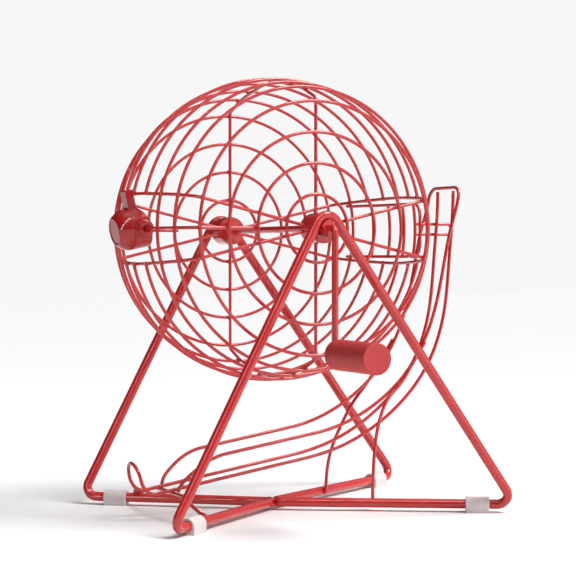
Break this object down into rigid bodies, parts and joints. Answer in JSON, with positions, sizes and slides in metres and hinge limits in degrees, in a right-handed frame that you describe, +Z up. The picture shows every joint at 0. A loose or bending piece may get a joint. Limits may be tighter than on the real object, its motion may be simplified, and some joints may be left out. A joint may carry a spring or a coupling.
{
  "type": "bingo cage",
  "caption": "Hand-cranked wire bingo cage on a bent tube stand, with a ball trap on the drum, a hinged loading door and a wire chute, painted red.",
  "frame": {"origin": "middle of the whole object's box, on the floor that the feet rest on", "axes": "+Z up; +Y from the crank's side to the far side, along the drum's shaft; +X to the right as the crank's side is faced, towards the chute's high end"},
  "size_m": [0.4192, 0.377, 0.4614],
  "materials": {
    "red_paint": "gloss",
    "red_plastic": "gloss",
    "grip_plastic": "satin",
    "foot_plastic": "matte"
  },
  "bodies": {
    "stand": {"front_frame_tube": "red_paint", "rear_frame_tube": "red_paint", "front_left_foot": "foot_plastic", "front_right_foot": "foot_plastic", "rear_left_foot": "foot_plastic", "rear_right_foot": "foot_plastic", "front_bearing_sleeve": "red_paint", "rear_bearing_sleeve": "red_paint", "chute_side_rails": "red_paint", "chute_bottom_rails": "red_paint", "chute_end_support": "red_paint", "front_chute_support": "red_paint", "rear_chute_support": "red_paint", "trap_trip_wire": "red_paint"},
    "drum": {"front_disc_ring_1": "red_paint", "front_disc_ring_2": "red_paint", "front_disc_ring_3": "red_paint", "front_disc_ring_4": "red_paint", "rear_disc_ring_1": "red_paint", "rear_disc_ring_2": "red_paint", "rear_disc_ring_3": "red_paint", "rear_disc_ring_4": "red_paint", "front_edge_ring": "red_paint", "rear_edge_ring": "red_paint", "front_shoulder_ring": "red_paint", "rear_shoulder_ring": "red_paint", "front_inner_ring_upper": "red_paint", "front_inner_ring_lower": "red_paint", "rear_inner_ring_upper": "red_paint", "rear_inner_ring_lower": "red_paint", "middle_ring_upper": "red_paint", "middle_ring_lower": "red_paint", "top_rib": "red_paint", "bottom_rib": "red_paint", "left_upper_rib": "red_paint", "left_lower_rib": "red_paint", "right_upper_rib": "red_paint", "right_lower_rib": "red_paint", "front_trap_wire": "red_paint", "rear_trap_wire": "red_paint", "drum_shaft": "red_paint", "front_hub": "red_paint", "rear_hub": "red_paint", "crank_rod": "red_paint", "rear_axle": "red_paint", "rear_axle_cap": "red_paint"},
    "grip": {"crank_grip": "grip_plastic"},
    "door": {"door_frame_wire": "red_paint", "door_cross_wire_rear_shoulder": "red_paint", "door_cross_wire_rear_inner": "red_paint", "door_cross_wire_middle": "red_paint", "door_cross_wire_front_inner": "red_paint"},
    "trap": {"ball_trap_cup": "red_plastic"}
  },
  "joints": [
    {"name": "drum_spin", "type": "hinge", "parent": "stand", "child": "drum", "pos_m": [-0.02953, 0.0465, 0.2997], "axis": [0, 1, 0], "continuous": true},
    {"name": "grip_spin", "type": "hinge", "parent": "drum", "child": "grip", "pos_m": [-0.02953, -0.1495, 0.1743], "axis": [0, 1, 0], "continuous": true},
    {"name": "door_hinge", "type": "hinge", "parent": "drum", "child": "door", "pos_m": [0.11267, 0.1309, 0.2997], "axis": [0, 0, 1], "range_deg": [0, 16]},
    {"name": "trap_pivot", "type": "hinge", "parent": "drum", "child": "trap", "pos_m": [-0.18104, 0.0465, 0.2997], "axis": [0, -1, 0], "range_deg": [0, 140]}
  ]
}
